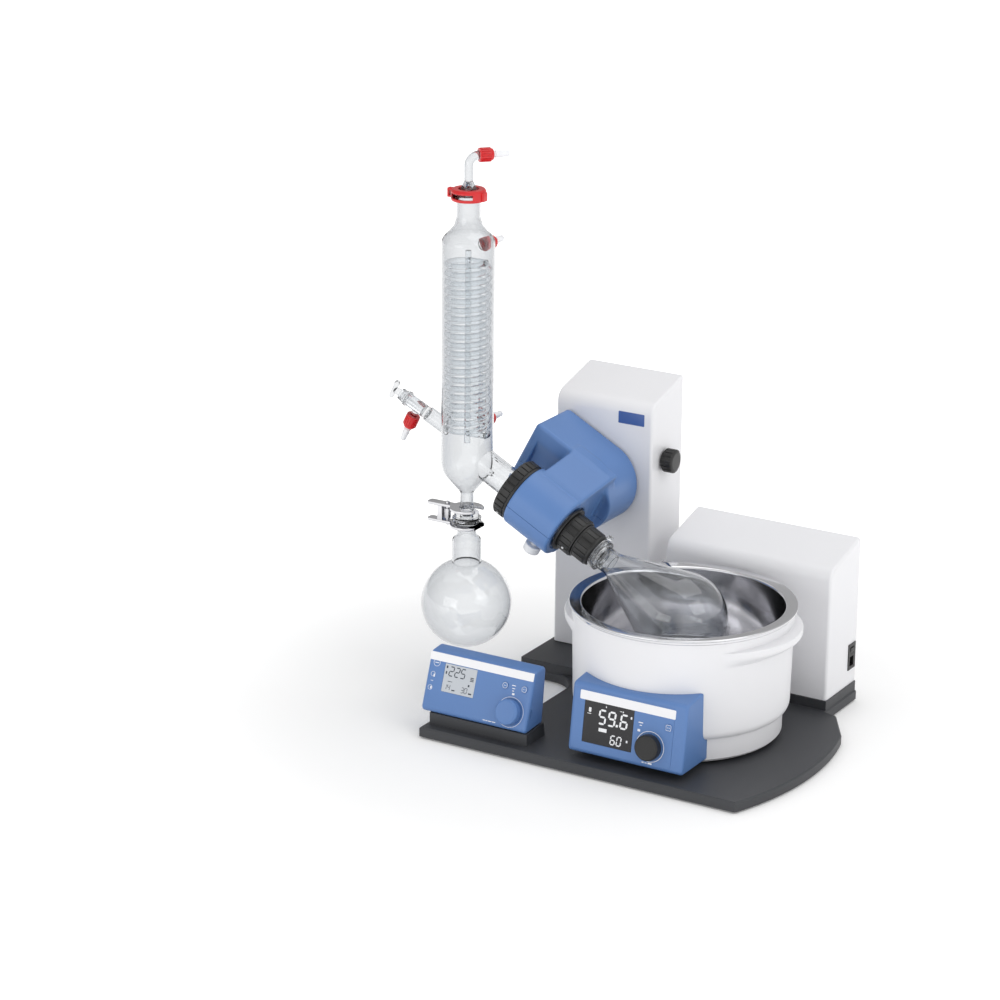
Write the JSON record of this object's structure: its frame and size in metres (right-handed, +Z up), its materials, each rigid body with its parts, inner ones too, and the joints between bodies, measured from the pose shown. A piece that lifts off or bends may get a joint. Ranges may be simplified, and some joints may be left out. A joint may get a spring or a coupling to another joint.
{
  "type": "rotary evaporator",
  "caption": "Rotary evaporator with a lifting tower, tilting drive head, upright glass condenser, receiving flask, heating bath and two consoles on one base plate.",
  "frame": {"origin": "on the floor, under the middle of the whole object's box", "axes": "+Z up, +X towards the bath's end (the operator's right), -Y the front with the consoles"},
  "size_m": [0.6868, 0.4432, 0.778],
  "materials": {
    "white_casing": "satin",
    "dark_plate": "satin",
    "blue_casing": "satin",
    "black_plastic": "satin",
    "dark_window": "gloss",
    "glass": "polished",
    "steel": "satin",
    "aluminium": "satin",
    "brass": "satin",
    "rubber": "matte",
    "red_plastic": "gloss",
    "pale_plastic": "satin",
    "board": "satin"
  },
  "bodies": {
    "base": {"base_plate": "dark_plate", "base_screws": "steel", "rubber_feet": "rubber", "lift_column": "aluminium", "lift_motor": "steel", "rear_housing": "white_casing", "rear_cover": "white_casing", "power_inlet": "black_plastic", "control_electronics": "board", "drive_case": "blue_casing", "drive_window": "pale_plastic", "drive_board": "board"},
    "lift": {"tower_hood": "white_casing", "lift_carriage": "aluminium", "lift_rods": "steel", "lift_nut": "brass"},
    "spindle": {"lift_spindle": "steel"},
    "tilt_clamp": {"tilt_clamp_knob": "black_plastic"},
    "head": {"head_upper_shell": "blue_casing", "head_lower_shell": "blue_casing", "head_fasteners": "steel", "tilt_shaft": "steel", "drive_core": "aluminium", "drive_bearings": "steel", "vapour_seal": "pale_plastic", "drive_motor": "steel", "drive_belt": "rubber", "condenser_jacket": "glass", "cooling_coil": "glass", "condenser_elbow": "glass", "elbow_clip": "red_plastic", "screw_caps": "red_plastic", "hose_barbs": "pale_plastic", "receiving_flask": "glass", "joint_clamp": "steel"},
    "rotor": {"hollow_shaft": "steel", "clamp_ring": "black_plastic", "vapour_duct": "glass", "evaporating_flask": "glass", "flask_clip": "steel"},
    "motor_pulley": {"motor_pulley": "aluminium"},
    "shaft_lock": {"shaft_lock_button": "pale_plastic"},
    "lock_ring": {"lock_ring": "black_plastic"},
    "push_off_ring": {"push_off_ring": "black_plastic"},
    "stopcock": {"stopcock_plug": "glass"},
    "clamp_screw": {"clamp_screw": "steel"},
    "drive_knob": {"drive_knob": "blue_casing"},
    "drive_key_1": {"drive_key_1": "blue_casing"},
    "drive_key_2": {"drive_key_2": "blue_casing"},
    "power_switch": {"power_switch": "black_plastic"},
    "bath": {"bath_bowl": "steel", "bath_housing": "white_casing", "bath_base": "white_casing", "bath_pads": "rubber", "bath_heater": "steel", "bath_case": "blue_casing", "bath_window": "dark_window", "bath_board": "board"},
    "bath_knob": {"bath_knob": "black_plastic"},
    "bath_key_1": {"bath_key_1": "blue_casing"}
  },
  "joints": [
    {"name": "lift", "type": "slide", "parent": "base", "child": "lift", "axis": [0, 0, 1], "range_m": [0, 0.14]},
    {"name": "spindle_turn", "type": "hinge", "parent": "base", "child": "spindle", "pos_m": [-0.08738, 0.17595, 0.1], "axis": [0, 0, 1], "range_deg": [0, 3160]},
    {"name": "head_tilt", "type": "hinge", "parent": "lift", "child": "head", "pos_m": [-0.08684, -0.03055, 0.29131], "axis": [0, 1, 0], "range_deg": [-28, 4]},
    {"name": "tilt_clamp_turn", "type": "hinge", "parent": "lift", "child": "tilt_clamp", "pos_m": [-0.01068, 0.16485, 0.3215], "axis": [1, 0, 0], "range_deg": [0, 360]},
    {"name": "flask_drive", "type": "hinge", "parent": "head", "child": "rotor", "pos_m": [-0.08918, -0.03055, 0.2869], "axis": [0.8829, 0, -0.4695], "continuous": true},
    {"name": "motor_spin", "type": "hinge", "parent": "head", "child": "motor_pulley", "pos_m": [-0.08073, 0.08145, 0.30279], "axis": [0.8829, 0, -0.4695], "continuous": true},
    {"name": "lock_ring_turn", "type": "hinge", "parent": "head", "child": "lock_ring", "pos_m": [-0.13333, -0.03055, 0.31037], "axis": [0.8829, 0, -0.4695], "range_deg": [0, 180]},
    {"name": "push_off_turn", "type": "hinge", "parent": "rotor", "child": "push_off_ring", "pos_m": [-0.01855, -0.03055, 0.24934], "axis": [0.8829, 0, -0.4695], "range_deg": [0, 360]},
    {"name": "shaft_lock_press", "type": "slide", "parent": "head", "child": "shaft_lock", "axis": [0.4695, 0, 0.8829], "range_m": [0, 0.005], "stiffness_N_per_m": 400},
    {"name": "stopcock_turn", "type": "hinge", "parent": "head", "child": "stopcock", "pos_m": [-0.21458, -0.03055, 0.364], "axis": [-0.8988, 0, 0.4384], "continuous": true},
    {"name": "clamp_screw_turn", "type": "hinge", "parent": "head", "child": "clamp_screw", "pos_m": [-0.24608, -0.03055, 0.258], "axis": [0, 0, 1], "range_deg": [0, 360]},
    {"name": "drive_knob_turn", "type": "hinge", "parent": "base", "child": "drive_knob", "pos_m": [-0.04208, -0.19945, 0.05842], "axis": [0, -0.9415, 0.3371], "continuous": true},
    {"name": "drive_key_1_press", "type": "slide", "parent": "base", "child": "drive_key_1", "axis": [0, 0.9415, -0.3371], "range_m": [0, 0.001], "stiffness_N_per_m": 300},
    {"name": "drive_key_2_press", "type": "slide", "parent": "base", "child": "drive_key_2", "axis": [0, 0.9415, -0.3371], "range_m": [0, 0.001], "stiffness_N_per_m": 300},
    {"name": "power_switch_rock", "type": "hinge", "parent": "base", "child": "power_switch", "pos_m": [0.26792, 0.20595, 0.08], "axis": [0, 1, 0], "range_deg": [-16, 0]},
    {"name": "bath_slide", "type": "slide", "parent": "base", "child": "bath", "axis": [1, 0, 0], "range_m": [-0.03, 0]},
    {"name": "bath_knob_turn", "type": "hinge", "parent": "bath", "child": "bath_knob", "pos_m": [0.17162, -0.19903, 0.05567], "axis": [0, -0.9893, 0.1458], "continuous": true},
    {"name": "bath_key_1_press", "type": "slide", "parent": "bath", "child": "bath_key_1", "axis": [0, 0.9893, -0.1458], "range_m": [0, 0.001], "stiffness_N_per_m": 300}
  ],
  "couplings": [
    {"joint": "spindle_turn", "follows": "lift", "rad_per_m": 392.7},
    {"joint": "motor_spin", "follows": "flask_drive", "ratio": 2.25}
  ]
}
